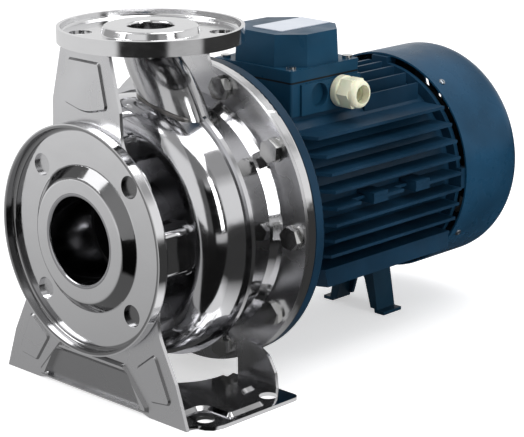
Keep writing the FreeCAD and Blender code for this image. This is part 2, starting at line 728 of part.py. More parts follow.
# Motor adapter: a dish that closes round the casing flanges.
def make_motor_adapter():
    item = body("motor_adapter")
    inner = rear_flange_radius + 1
    revolve(item, "dish", [
        (rear_flange + S.clearance, inner), (rear_flange + S.clearance, adapter_radius),
        (motor_flange, adapter_radius), (motor_flange, S.adapter_bore_radius),
        (adapter_plate, S.adapter_bore_radius), (adapter_plate, inner),
    ], {2: 3})
    bolt_holes(item, adapter_plate, S.press_sheet)


# Casing bolts with their washers, heads on the casing side.
def make_casing_bolts():
    item = body("casing_bolts")
    x, z = on_circle(bolt_circle_radius, 18)
    head_front = rear_plate - S.washer_sheet - S.casing_bolt_head_height
    length = motor_flange + S.casing_bolt_depth - head_front
    head, sketch = prism(item, "head", "XZ_Plane", head_front, S.casing_bolt_head_height,
                         [hexagon(x, z, S.casing_bolt_head)])
    shank, sketch = prism(item, "shank", "XZ_Plane", head_front, length,
                          circles=[(x, z, S.casing_bolt_radius)])
    repeat(item, "bolts", [head, shank], S.casing_bolt_count)
    item = body("casing_washers")
    start = rear_plate - S.washer_sheet
    washer, sketch = prism(item, "washer", "XZ_Plane", start, S.washer_sheet, circles=[
        (x, z, S.washer_radius), (x, z, S.casing_bolt_radius + 0.3)])
    repeat(item, "washers", [washer], S.casing_bolt_count)


# Wear ring: a bronze ring in the casing round the impeller eye.
def make_wear_ring():
    ring_node("wear_ring", wall_back, wall_back + 11, eye_radius + 0.4, eye_radius + 4.4)


# Impeller: hub, two shrouds and backward-curved vanes between them.
def make_impeller():
    item = body("impeller")
    rim = S.impeller_radius
    front = impeller_back - impeller_width
    revolve(item, "back_shroud", [
        (impeller_front, hub_bore), (impeller_front, hub_bore + 6),
        (impeller_back - 12, hub_bore + 8), (impeller_back - 3, rim * 0.4),
        (impeller_back - 3, rim), (impeller_back, rim), (impeller_back, hub_bore),
    ])
    eye = wall_back + 1
    revolve(item, "front_shroud", [
        (eye, eye_radius - 3), (eye, eye_radius), (eye + 11, eye_radius),
        (front, rim * 0.7), (front, rim), (front + 3, rim), (front + 3, rim * 0.69),
        (eye + 12, eye_radius - 3),
    ])
    spiral = []
    for step in range(5):
        share = step / 4
        spiral.append((rim * (0.45 + 0.53 * share), 68 * share, 1.6))
    outer = [on_circle(radius + half, angle) for radius, angle, half in spiral]
    inner = [on_circle(radius - half, angle) for radius, angle, half in spiral[::-1]]
    vane, sketch = prism(item, "vane", "XZ_Plane", eye + 11, impeller_back - eye - 12.5, [outer + inner])
    repeat(item, "vanes", [vane], 6)
    groove(item, "front_face", [
        (eye - 1, eye_radius), (eye + 11, eye_radius), (front, rim * 0.7), (front, rim + 5),
        (eye - 1, rim + 5)])


def make_impeller_nut():
    item = body("impeller_nut")
    prism(item, "nut", "XZ_Plane", impeller_front - 8, 8 - S.clearance, [hexagon(size(0), size(0), 8.5)])
    prism(item, "thread", "XZ_Plane", impeller_front - 8, 8, circles=[(0, 0, 5.1)], cut=True)


# Shaft seal: a fixed seat in the cover pocket, and a head with its spring on the shaft.
def make_shaft_seal():
    ring_node("seal_seat", seal_back - 8, seal_back - 0.1, S.shaft_radius - 1, seal_radius - 0.15)
    ring_node("seal_head", seal_back - 16, seal_back - 8.3, hub_bore, hub_bore + 7, {3: 1})
    item = body("seal_bellows")
    start = impeller_back + 0.1
    fold = (seal_back - 16.1 - start) / 6
    inner, outer = hub_bore, hub_bore + 6
    crests = [(start + fold * step, outer - 2 * (step % 2)) for step in range(7)]
    roots = [(start + fold * step, inner) for step in (6, 0)]
    revolve(item, "bellows", crests + roots)


# Shaft: stepped for the impeller, the seal, both bearings, the rotor and the fan.
def make_shaft():
    item = body("shaft")
    narrow = hub_bore - S.running_gap
    revolve(item, "turned", [
        (impeller_front - 9, 0), (impeller_front - 9, 5), (impeller_front, 5),
        (impeller_front, narrow), (seal_back + 8, narrow), (seal_back + 8, S.shaft_radius),
        (front_bearing + front_bearing_width, S.shaft_radius),
        (front_bearing + front_bearing_width, S.shaft_radius + 3),
        (rear_bearing, S.shaft_radius + 3), (rear_bearing, rear_shaft),
        (rear_bearing + rear_bearing_width, rear_shaft),
        (rear_bearing + rear_bearing_width, fan_shaft), (fan_end, fan_shaft), (fan_end, 0),
    ], {12: 1})


def make_slinger():
    ring_node("slinger", motor_flange + 3, motor_flange + 6, S.shaft_radius + S.running_gap, 27)


# Deep-groove bearing: outer ring, inner ring, balls and a riveted cage.
def make_bearing(label, start, width, bore, outside, ball, count):
    pitch = (size(bore) + outside) / 2
    middle = size(start) + size(width) / 2
    track = ball + 0.35
    shallow = ball * 0.55
    for name, back, edge, deep in (
            ("outer", size(outside), pitch + shallow, pitch + track),
            ("inner", size(bore) + S.running_gap, pitch - shallow, pitch - track)):
        item = body("%s_%s" % (label, name))
        revolve(item, "ring", [
            (start, back), (size(start) + width, back), (size(start) + width, edge),
            (middle + track, edge), (middle + shallow, deep), (middle - shallow, deep),
            (middle - track, edge), (start, edge),
        ])
    item = body(label + "_balls")
    sketch = new_sketch(item, "half", "YZ_Plane")
    geometry = Part.ArcOfCircle(Part.Circle(
        FreeCAD.Vector(middle.number, pitch.number, 0), FreeCAD.Vector(0, 0, 1),
        size(ball).number), 0, math.pi)
    arc = sketch.addGeometry(geometry, False)
    left = FreeCAD.Vector(middle.number - size(ball).number, pitch.number, 0)
    right = FreeCAD.Vector(middle.number + size(ball).number, pitch.number, 0)
    line = sketch.addGeometry(Part.LineSegment(left, right), False)
    sketch.addConstraint([
        Sketcher.Constraint("Coincident", line, 1, arc, 2),
        Sketcher.Constraint("Coincident", line, 2, arc, 1),
        Sketcher.Constraint("Horizontal", line),
        Sketcher.Constraint("PointOnObject", arc, 3, line),
    ])
    place_point(sketch, arc, 3, (middle, pitch))
    constrain(sketch, Sketcher.Constraint("Radius", arc, size(ball).number), ball)
    turned = item.newObject("PartDesign::Revolution", "ball")
    turned.Profile = sketch
    turned.ReferenceAxis = (sketch, ["Edge2"])
    turned.Angle = 360
    repeat(item, "balls", [turned], count)
    item = ring_node(label + "_cage", middle - ball * 0.9, middle + ball * 0.9,
                     pitch - ball * 0.2, pitch + ball * 0.2)
    pocket = new_sketch(item, "pocket_sketch", "XY_Plane", pitch - ball)
    add_circle(pocket, 0, middle, ball + 0.1)
    hole = item.newObject("PartDesign::Pocket", "pocket")
    hole.Profile = pocket
    bind(hole, "Length", ball * 2)
    hole.Reversed = True
    repeat(item, "pockets", [hole], count)


# Front shield: the flange, the cone and the seat of the front bearing in one casting.
def make_front_shield():
    item = body("front_shield")
    step = motor_flange + S.motor_flange_sheet
    web = front_bearing - 6
    spigot = S.barrel_bore_radius - S.clearance
    seat = front_bearing_radius + S.clearance
    revolve(item, "casting", [
        (motor_flange, 60), (motor_flange, motor_flange_radius), (step, motor_flange_radius),
        (step, motor_flange_radius - 15), (S.barrel_front - 8, S.barrel_radius + 11),
        (S.barrel_front, S.barrel_radius + 11), (S.barrel_front, spigot),
        (S.barrel_front + 6, spigot), (S.barrel_front + 6, spigot - 6), (web + 8, spigot - 6),
        (web + 8, seat + 6), (front_bearing + front_bearing_width, seat + 6),
        (front_bearing + front_bearing_width, seat), (front_bearing, seat),
        (front_bearing, seat - 9), (web, seat - 9), (web, 60),
    ], {2: 2, 3: 4, 4: 3, 5: 1})
    bolt_holes(item, motor_flange, S.casing_bolt_depth + 0.5, S.casing_bolt_radius + S.clearance)


# Motor barrel: finned casting with side fins, low rails, top ribs, the box saddle and foot pad.
def make_motor_barrel():
    item = body("motor_barrel")
    inside = S.barrel_radius - 4
    half = S.fin_sheet / 2
    bore = S.barrel_bore_radius
    ring(item, "barrel", S.barrel_front, S.barrel_front + S.barrel_length, bore, S.barrel_radius)
    low_fin = -3.5
    prism(item, "foot_pad", "XZ_Plane", S.motor_foot_place - 1, S.motor_foot_length + 2, [
        rectangle(-S.motor_foot_top - 1, S.motor_foot_top + 1, -S.foot_pad, 8 - S.foot_pad)])
    side = []
    for step in (low_fin, -2.5, -1.5, -0.5, 0.5, 1.5, 2.5, 3.5, 4.5):
        low, high = S.fin_pitch * step - half, S.fin_pitch * step + half
        outer = chord(S.fin_radius, S.fin_pitch * step)
        side.append([(chord(inside, low if step < 0 else high), low), (outer, low), (outer, high),
                     (chord(inside, low if step < 0 else high), high)])
    fins, sketch = prism(item, "side_fin", "XZ_Plane", S.fin_front, S.fin_length, side)
    mirror(item, "side_fins", [fins], sketch)
    rail, sketch = prism(item, "rail", "XZ_Plane", S.barrel_front + 1, S.barrel_length - 7, [
        rectangle(S.rail_inner, S.rail_reach, -S.rail_low, S.fin_pitch * low_fin + half)])
    mirror(item, "rails", [rail], sketch)
    lug = S.fin_pitch / 2
    prism(item, "lugs", "YZ_Plane", 0.5 - S.fin_radius, S.fin_radius * 2 - 1, [
        rectangle(place, place + 18, lug - 4.5, lug + 4.5) for place in lug_places])
    for start in (S.fin_radius - 11, -S.fin_radius - 9):
        prism(item, "notches", "YZ_Plane", start, 20, [
            rectangle(place - 16, place, lug - 3, lug + 9) for place in lug_places], cut=True)
    rear = S.box_front + S.box_length + 3
    top = []
    for step in (0.5, 1.5, 2.5, 3.5):
        left, right = S.fin_pitch * step - half, S.fin_pitch * step + half
        outer = chord(S.fin_radius - 8, S.fin_pitch * step)
        top.append([(left, chord(inside, right)), (right, chord(inside, right)),
                    (right, outer), (left, outer)])
    fins, sketch = prism(item, "top_fin", "XZ_Plane", rear, S.fin_front + S.fin_length - rear, top)
    mirror(item, "top_fins", [fins], sketch)
    saddle = S.box_half_width - 1
    prism(item, "box_saddle", "XZ_Plane", S.box_front + 1, S.box_length - 2, [
        [(-saddle, 56), (saddle, 56), (saddle, S.box_bottom), (-saddle, S.box_bottom)]])
    reach = S.rail_reach + S.rail_low
    groove(item, "fin_ends", [
        (S.barrel_front - 1, S.barrel_radius + 4), (S.barrel_front - 1, reach),
        (S.fin_front + 35, reach), (S.fin_front - 1, S.barrel_radius + 4)])
    prism(item, "bore", "XZ_Plane", S.barrel_front, S.barrel_length, circles=[(0, 0, bore)], cut=True)


# Stator core and windings inside the barrel.
def make_stator():
    outer = S.barrel_bore_radius - S.clearance
    ring_node("stator_core", core_front, core_back, core_radius, outer)
    item = body("stator_windings")
    ring(item, "front_winding", core_front - 14, core_front, core_radius + 4, outer - 6,
         {0: 3, 3: 4})
    ring(item, "rear_winding", core_back, core_back + 14, core_radius + 4, outer - 6, {1: 3, 2: 4})


# Rotor core with its short-circuit rings.
def make_rotor_core():
    item = body("rotor_core")
    inner = S.shaft_radius + 3 + S.running_gap
    outer = core_radius - 0.4
    ring(item, "core", core_front, core_back, inner, outer)
    ring(item, "front_ring", core_front - 7, core_front, inner + 8, outer - 1)
    ring(item, "rear_ring", core_back, core_back + 7, inner + 8, outer - 1)


# Rear shield: seat of the rear bearing, with arms that carry the fan cover.
def make_rear_shield():
    item = body("rear_shield")
    start = S.barrel_front + S.barrel_length
    spigot = S.barrel_bore_radius - S.clearance
    seat = rear_bearing_radius + S.clearance
    back = rear_bearing + rear_bearing_width
    revolve(item, "casting", [
        (start - 6, spigot), (start, spigot), (start, S.shield_rim),
        (start + 6, S.shield_rim), (start + 6, spigot - 20), (back + 6, seat + 5),
        (back + 6, fan_shaft + 5), (back, fan_shaft + 5), (back, seat), (rear_bearing, seat),
        (rear_bearing, seat + 5), (back, seat + 6), (start - 6, spigot - 8),
    ], {3: 2})
    inside = S.fan_cover_radius - S.fan_cover_sheet - S.clearance
    arm, sketch = prism(item, "arm", "XZ_Plane", start, 12, [
        [(-9, S.barrel_radius - 6), (9, S.barrel_radius - 6), (9, chord(inside, 9)),
         (-9, chord(inside, 9))]])
    repeat(item, "arms", [arm], 4)


# Fan cover: a drawn cap with a slotted end.
def make_fan_cover():
    item = body("fan_cover")
    start = S.fan_cover_front
    end = start + S.fan_cover_length
    outer = S.fan_cover_radius
    sheet_size = S.fan_cover_sheet
    revolve(item, "cap", [
        (start, outer - sheet_size), (start, outer), (end, outer), (end, 0),
        (end - sheet_size, 0), (end - sheet_size, outer - sheet_size),
    ], {2: S.fan_cover_round, 5: S.fan_cover_round - sheet_size})
    slot, sketch = prism(item, "slot", "XZ_Plane", end - 4, 5, [
        (rectangle(-1.8, 1.8, outer * 0.24, outer * 0.7), {0: 1.7, 1: 1.7, 2: 1.7, 3: 1.7})],
        cut=True)
    repeat(item, "slots", [slot], 24)


# Cooling fan: hub, disc and straight blades.
def make_cooling_fan():
    item = body("cooling_fan")
    ring(item, "hub", fan_end - 22, fan_end - 2, fan_shaft + S.running_gap, 17)
    ring(item, "disc", fan_end - 22, fan_end - 19, 16, S.fan_radius)
    blade, sketch = prism(item, "blade", "XZ_Plane", fan_end - 22, 24, [
        rectangle(-1.2, 1.2, 30, S.fan_radius + 4)])
    repeat(item, "blades", [blade], 9)


# Terminal box: base on the saddle, gasket, domed lid, screws and a bare plate.
def make_terminal_box():
    wide = S.box_half_width
    start = S.box_front
    end = S.box_front + S.box_length
    wall = S.box_wall
    outline = [(-wide, start), (wide, start), (wide, end), (-wide, end)]
    inside = [(wall - wide, start + wall), (wide - wall, start + wall), (wide - wall, end - wall),
              (wall - wide, end - wall)]
    corners = {0: 2, 1: 2, 2: 2, 3: 2}
    item = body("terminal_box")
    low = S.box_bottom + S.clearance
    seat = S.barrel_radius + S.clearance
    prism(item, "block", "XY_Plane", low, S.box_rim - low, [(outline, corners)])
    prism(item, "side_pad", "YZ_Plane", wide - 1, 3, [
        rectangle(start + 10.5, end, low, S.box_rim - 1.5)])
    prism(item, "room", "XY_Plane", low - 1, S.box_rim - low + 2, [(inside, corners)], cut=True)
    floor = revolve(item, "floor", rectangle(start, end, seat, seat + wall))
    floor.Angle = 60
    floor.Midplane = True
    prism(item, "underside", "XY_Plane", low - wide, wide, [
        rectangle(-wide * 2, wide * 2, start - 1, end + 1)], cut=True)
    groove(item, "barrel_seat", rectangle(start - 1, end + 1, 0, seat))
    prism(item, "recess", "YZ_Plane", wide - 3.5, 6,
          circles=[(S.entry_place, S.entry_height, S.entry_radius)], cut=True)
    prism(item, "entry", "YZ_Plane", wide - wall - 1, wall + 5, circles=[
        (S.entry_place + S.entry_spacing, S.entry_height, S.entry_radius)], cut=True)
    posts = [(start + 7, wide - 7), (end - 7, wide - 7), (start + 7, 7 - wide), (end - 7, 7 - wide)]
    prism(item, "posts", "XY_Plane", S.barrel_radius - 6, S.box_rim - S.barrel_radius + 6,
          circles=[(x, y, 6) for y, x in posts])
    prism(item, "screw_holes", "XY_Plane", S.box_rim - 12, 13, circles=[
        (x, y, 2.6) for y, x in posts], cut=True)

    item = body("terminal_gasket")
    prism(item, "frame", "XY_Plane", S.box_rim, S.gasket_sheet, [(outline, corners), (inside, corners)])
    prism(item, "holes", "XY_Plane", S.box_rim, S.gasket_sheet, circles=[
        (x, y, 2.6) for y, x in posts], cut=True)

    item = body("terminal_lid")
    flange = S.box_rim + S.gasket_sheet
    dome_base = flange + S.lid_flange
    half = S.lid_half_width
    cut = S.lid_corner
    middle = start + S.box_length / 2
    reach = S.box_length / 2 - 3
    dome = [(cut - half, middle - reach), (half - cut, middle - reach), (half, middle - reach + cut),
            (half, middle + reach - cut), (half - cut, middle + reach), (cut - half, middle + reach),
            (-half, middle + reach - cut), (-half, middle - reach + cut)]
    thin = 2.5
    hollow = [(cut - half + 1, middle - reach + thin), (half - cut - 1, middle - reach + thin),
              (half - thin, middle - reach + cut + 1), (half - thin, middle + reach - cut - 1),
              (half - cut - 1, middle + reach - thin), (cut - half + 1, middle + reach - thin),
              (thin - half, middle + reach - cut - 1), (thin - half, middle - reach + cut + 1)]
    prism(item, "flange", "XY_Plane", flange, S.lid_flange, [(outline, corners)])
    prism(item, "dome", "XY_Plane", dome_base, S.lid_height, [dome], taper=-3)
    prism(item, "room", "XY_Plane", flange, S.lid_flange + S.lid_height - thin, [hollow],
          cut=True, taper=-3)
    prism(item, "screw_holes", "XY_Plane", flange, S.lid_flange, circles=[
        (x, y, 2.6) for y, x in posts], cut=True)

    item = body("lid_screws")
    prism(item, "heads", "XY_Plane", dome_base, 2.5, circles=[(x, y, 4.4) for y, x in posts])
    prism(item, "shanks", "XY_Plane", S.box_rim - 10, dome_base - S.box_rim + 11,
          circles=[(x, y, 2.4) for y, x in posts])

    item = body("lid_plate")
    top = dome_base + S.lid_height
    prism(item, "plate", "XY_Plane", top, 0.6, [
        (rectangle(-17, 17, middle - 24, middle + 37), {0: 1.5, 1: 1.5, 2: 1.5, 3: 1.5})])

    item = body("terminal_block")
    floor = seat + wall + S.clearance
    prism(item, "block", "XY_Plane", floor, 9, [
        (rectangle(-20, 20, middle - 24, middle + 24), {0: 3, 1: 3, 2: 3, 3: 3})])
    studs = [(x, middle + y) for x in (-8, 8) for y in (-15, 0, 15)]
    item = body("terminal_studs")
    prism(item, "studs", "XY_Plane", floor + 9, 14, circles=[(x, y, 2) for x, y in studs])
    prism(item, "nuts", "XY_Plane", floor + 9, 3, [hexagon(size(x), size(y), 4) for x, y in studs])


# Cable gland on the side of the terminal box, its bore open.
def make_gland():
    start = S.box_half_width + 2
    place = S.entry_place + S.entry_spacing
    for label in ("gland_body", "gland_nut"):
        item = body(label)
        bind(item, "Placement.Base.y", place)
        bind(item, "Placement.Base.z", S.shaft_height + S.entry_height)
        if label == "gland_body":
            revolve(item, "tube", [
                (start - S.box_wall - 2, S.gland_bore),
                (start - S.box_wall - 2, S.entry_radius - S.clearance),
                (start, S.entry_radius - S.clearance), (start, 13.5), (start + 8, 13.5),
                (start + 8, 10.5), (start + 18, 10.5), (start + 18, S.gland_bore),
            ], {3: 2, 4: 2}, role="XY_Plane")
        else:
            long = S.gland_length - 9
            prism(item, "nut", "YZ_Plane", start + 8.3, long, [hexagon(size(0), size(0), 12)])
            prism(item, "thread", "YZ_Plane", start + 8.3, 10.5, circles=[(0, 0, 10.7)], cut=True)
            prism(item, "bore", "YZ_Plane", start + 8.3, long, circles=[(0, 0, S.gland_bore)], cut=True)
            end = start + 8.3 + long
            revolve(item, "rounded_end", [
                (end - 6, 12.3), (end - 1, 11.5), (end, S.gland_bore + 0.6), (end + 1, S.gland_bore + 0.6),
                (end + 1, 15), (end - 6, 15),
            ], {1: 4}, "PartDesign::Groove", "XY_Plane")


# Motor foot: a folded sheet under the barrel, its ends closed by flanges with an arch between.
def make_motor_foot():
    item = body("motor_foot", False)
    top = S.shaft_height - S.foot_pad - S.clearance
    sheet_size = S.motor_foot_sheet
    high, low = S.motor_foot_top, S.motor_foot_low
    lip = low + S.motor_foot_tab
    start = S.motor_foot_place
    length = S.motor_foot_length
    fold = both_sides([
        (high, top), (low, sheet_size), (lip, sheet_size), (lip, 0), (low - sheet_size, 0),
        (high - sheet_size, top - sheet_size),
    ], {0: 5, 5: 2})
    prism(item, "fold", "XZ_Plane", start, length, [fold])
    under = 3.75
    flange = both_sides([
        (high, top), (low - 0.2, under), (low - 8, under), (high - 9, top - 13),
    ], {0: 5, 3: 5})
    for name, place in (("front_flange", start), ("rear_flange", start + length - sheet_size)):
        prism(item, name, "XZ_Plane", place, sheet_size, [flange])
    middle = start + length / 2
    away = S.motor_foot_screws
    prism(item, "holes", "XY_Plane", top - sheet_size, sheet_size, circles=[
        (away, middle, 4.5), (-away, middle, 4.5)], cut=True)
    item = body("motor_foot_screws", False)
    prism(item, "heads", "XY_Plane", top - sheet_size - 5, 5, [
        hexagon(size(x), middle, 6.5) for x in (away, -away)])


seal_radius = size(24)
shaft_hole = S.shaft_radius - 1
seal_back = seam + S.cover_wall_place + 27
impeller_back = seam + S.cover_wall_place - 3
impeller_width = size(14)
impeller_front = impeller_back - 24
eye_radius = S.suction_bore_radius + 1.5
hub_bore = S.shaft_radius - 3 + S.running_gap
front_bearing = motor_flange + 17.5
front_bearing_width = size(16)
front_bearing_radius = size(31)
rear_bearing = S.barrel_front + S.barrel_length - 24
rear_bearing_width = size(15)
rear_bearing_radius = size(26)
rear_shaft = size(12.5)
fan_shaft = size(9.5)
fan_end = S.fan_cover_front + 42
core_front = S.barrel_front + 26
core_back = S.barrel_front + S.barrel_length - 34
core_radius = size(42)

make_suction_flange()
make_suction_neck()
make_discharge_flange()
make_discharge_pipe()
make_casing_front_shell()
make_casing_rear_shell()
make_support_arms()
make_support_front_plate()
make_support_rear_plate()
make_support_rear_legs()
make_support_base_plate()
make_casing_cover()
make_casing_o_ring()
make_motor_adapter()
make_casing_bolts()
make_wear_ring()
make_impeller()
make_impeller_nut()
make_shaft_seal()
make_shaft()
make_slinger()
make_bearing("front_bearing", front_bearing, front_bearing_width, S.shaft_radius,
             front_bearing_radius, size(4.4), 9)
make_bearing("rear_bearing", rear_bearing, rear_bearing_width, rear_shaft,
             rear_bearing_radius, size(3.6), 9)
make_front_shield()
make_motor_barrel()
make_stator()
make_rotor_core()
make_rear_shield()
make_fan_cover()
make_cooling_fan()
make_terminal_box()
make_gland()
make_motor_foot()


def finish():
    """Checks every feature and writes each sub-part."""
    document.recompute()
    for item in document.Objects:
        if "Invalid" in item.State or "Error" in item.State:
            raise RuntimeError("%s (%s) failed: %s" % (item.Name, item.Label, item.State))
    os.makedirs("parts", exist_ok=True)
    for item in nodes:
        shape = item.Shape
        if shape.isNull() or not shape.isValid() or not shape.Solids:
            raise RuntimeError("%s has no valid solid" % item.Label)
        print("%-24s solids %2d volume %10.1f  box %s" % (
            item.Label, len(shape.Solids), shape.Volume,
            " ".join("%.1f" % edge for edge in (
                shape.BoundBox.XMin, shape.BoundBox.XMax, shape.BoundBox.YMin,
                shape.BoundBox.YMax, shape.BoundBox.ZMin, shape.BoundBox.ZMax))))
        shape.exportStep(os.path.join("parts", item.Label + ".step"))


finish()
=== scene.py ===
"""Surface pump with a polished steel casing and a blue finned motor, in a plain pale studio.

The pump's axis runs along Y, with the suction side at the negative end and the gland at +X.
Lengths are in metres, angles in degrees and colours linear, unless a comment says otherwise.
"""
import math

import bmesh
import bpy
from mathutils import Matrix, Vector
from mathutils.bvhtree import BVHTree


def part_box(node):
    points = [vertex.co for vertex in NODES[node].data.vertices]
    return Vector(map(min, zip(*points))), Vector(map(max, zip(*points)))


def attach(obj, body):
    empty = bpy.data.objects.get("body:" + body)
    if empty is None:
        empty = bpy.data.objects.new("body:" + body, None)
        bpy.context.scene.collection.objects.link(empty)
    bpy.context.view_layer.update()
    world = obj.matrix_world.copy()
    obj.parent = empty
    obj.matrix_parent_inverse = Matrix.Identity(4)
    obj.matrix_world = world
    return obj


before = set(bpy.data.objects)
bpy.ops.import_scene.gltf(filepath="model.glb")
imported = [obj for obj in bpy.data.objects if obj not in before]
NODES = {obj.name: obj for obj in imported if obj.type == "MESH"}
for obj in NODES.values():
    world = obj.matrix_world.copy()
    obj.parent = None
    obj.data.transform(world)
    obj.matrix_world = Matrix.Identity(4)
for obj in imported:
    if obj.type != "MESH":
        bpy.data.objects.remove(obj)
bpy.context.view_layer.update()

SHAFT_HEIGHT = (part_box("shaft")[0].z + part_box("shaft")[1].z) / 2
# Foremost place of the front plate, which is the front of the frames pressed into it.
PLATE_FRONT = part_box("support_front_plate")[0].y
MILLIMETRE = 0.001

# Camera: angles round the pump in radians, place, lens and sensor width in millimetres, and
# clipping distances.
CAMERA_AZIMUTH = math.radians(44.23)
CAMERA_ELEVATION = math.radians(15.98)
CAMERA_ROLL = math.radians(-0.11)
CAMERA_PLACE = Vector((1.0971, -0.9914, 0.5586))
CAMERA_LENS = 131.6
CAMERA_SENSOR = 36
CAMERA_CLIP = (0.05, 50)

# Lamps: name, place, width and height, power in watts. They look at the middle of the studio.
STUDIO_MIDDLE = Vector((0, 0.1, SHAFT_HEIGHT))
STUDIO_LIGHTS = (
    ("key_light", (-1.2, -1.6, 2.0), (1.4, 1.4), 28),
    ("top_light", (0.5, 0.6, 2.2), (2.0, 1.6), 22),
    ("side_light", (2.0, 0.3, 0.9), (0.5, 1.5), 10),
)
# Strength of the world as a light, and as the camera and polished metal see it.
WORLD_LIGHT = 0.55
WORLD_SEEN = 1.0

# Floor: it lies just under the feet and glows a little to the camera and to polished metal.
FLOOR_SIZE = 12
FLOOR_PLACE = (0, 0.1, -0.0003)
FLOOR_COLOR = (0.86, 0.86, 0.87)
FLOOR_GLOWS = (("Is Camera Ray", 0.5), ("Is Glossy Ray", 0.12))

# What polished metal sees is a sky round the pump and a floor, each a grid of these directions.
# Azimuths run from the suction side towards the gland.
REFLECTED_TURNS = [step * 2.5 for step in range(144)]
SKY_RISES = (-2, 0, 3, 6, 10, 14, 18, 22, 26, 30, 35, 40, 46, 52, 60, 70, 80, 89.9)
SKY_RADIUS = 4.5
# Brightness of the sky and of its patches, each over the ones before it: azimuths, elevations,
# width of the soft edge, brightness.
SKY_BASE = 0.8
SKY_PATCHES = (
    ((-92, -12), (-10, 52), 8, 0.36),
    ((-60, -40), (-10, 8), 8, 0.12),
    ((38, 66), (-10, 42), 8, 0.10),
    ((58, 116), (-10, 34), 7, 0.008),
    ((116, 190), (-10, 2), 5, 0.08),
    ((114, 152), (30, 60), 10, 0.35),
    ((152, 200), (20, 60), 10, 0.75),
    ((-178, -92), (40, 90), 12, 0.45),
    ((-12, 38), (48, 90), 10, 0.35),
    ((38, 125), (36, 90), 8, 0.2),
)
# Sectors of the reflected floor round a point under the pump: two azimuths, brightness near and
# far, and the two distances between which it changes. Sectors that are darker near that point
# than far away carry painted shadow of the pump.
REFLECTED_FLOOR_MIDDLE = (0.11, -0.045)
REFLECTED_FLOOR_HEIGHT = -0.0001
REFLECTED_FLOOR_DISTANCES = (0.001, 0.05, 0.1, 0.14, 0.18, 0.24, 0.3, 0.45, 0.6, 0.8, 1.0, 1.25,
                             1.5, 2.0, 3.0, SKY_RADIUS)
FLOOR_SECTOR_EDGE = 8
FLOOR_SECTORS = (
    (-100, 4, 0.36, 0.75, 0.2, 1.4),
    (4, 68, 0.008, 0.02, 0.2, 1.4),
    (68, 114, 0.008, 0.5, 0.8, 1.1),
    (114, 200, 0.8, 0.04, 0.1, 0.18),
    (200, 260, 0.05, 0.75, 0.25, 0.6),
)

# Darker places in the steel: painted shade where the adapter and cover face along the shaft, on
# the suction flange's bore, slopes and rim and in the sheet's creases, painted shadow behind the
# suction flange, and a darker tone on the front plate's recessed fields. A shade is a share of
# the finish's own colour. A pair of limits, between which the colour fades in or out, is a
# distance from the shaft, a place along an axis, or how squarely the surface faces along the
# shaft, from 0 to 1.
# Faces that look along the shaft get painted shade between these limits.
END_SHADE_FACING = (0.4, 0.8)
# Painted shade on the suction flange's bore and on the slopes of its raised face.
PAINTED_SLOPE_SHADE = 0.22
SLOPE_FACING = (0.86, 0.98)
SLOPE_RADII = (0.072, 0.075)
# Painted shade on the inside of the suction flange's rim.
PAINTED_RIM_SHADE = 0.35
RIM_START_RADII = (0.0855, 0.0865)
RIM_END_RADII = (0.091, 0.0918)
# Painted shade in the pressed creases of the sheet.
PAINTED_CREASE_SHADE = 0.34
CREASE_START_FACING = (0.3, 0.5)
CREASE_END_FACING = (0.80, 0.97)
RECESS_SHADE = 0.5
RECESS_Y = (PLATE_FRONT + 0.003, PLATE_FRONT + 0.004)
RECESS_FACING = (0.5, 0.8)
# Painted shadow of the suction flange on the front plate, on the gland's side only.
PAINTED_FLANGE_SHADOW = 0.3
BEHIND_FLANGE_RADII = (0.081, 0.086)
BEHIND_FLANGE_X = (-0.012, 0.012)

# Polished pressings: name, colour, roughness, height of the waves in the sheet, CAD nodes.
POLISHED_STEELS = (
    ("neck_steel", (0.5, 0.5, 0.52), 0.12, 0.0006, ("suction_neck",)),
    ("discharge_steel", (0.84, 0.84, 0.85), 0.11, 0.0012, ("discharge_flange",)),
    ("pipe_steel", (0.58, 0.58, 0.59), 0.13, 0.0016, ("discharge_pipe",)),
    ("casing_steel", (0.78, 0.78, 0.80), 0.085, 0.0009,
     ("casing_front_shell", "casing_rear_shell")),
    ("arm_steel", (0.80, 0.80, 0.815), 0.09, 0.0016, ("support_arms",)),
    ("base_sheet", (0.7, 0.7, 0.71), 0.09, 0.0008, ("support_base_plate",)),
)
# Painted castings and sheet: name, colour, roughness, height of the orange peel, CAD nodes.
MOTOR_PAINTS = (
    ("motor_paint", (0.005, 0.030, 0.062), 0.36, 0.00012,
     ("front_shield", "motor_barrel", "rear_shield")),
    ("fan_cover_paint", (0.006, 0.044, 0.092), 0.28, 0.00004, ("fan_cover",)),
    ("box_paint", (0.007, 0.048, 0.095), 0.33, 0.0001, ("terminal_box", "terminal_lid")),
    ("foot_paint", (0.006, 0.035, 0.065), 0.34, 0.00006, ("motor_foot",)),
)
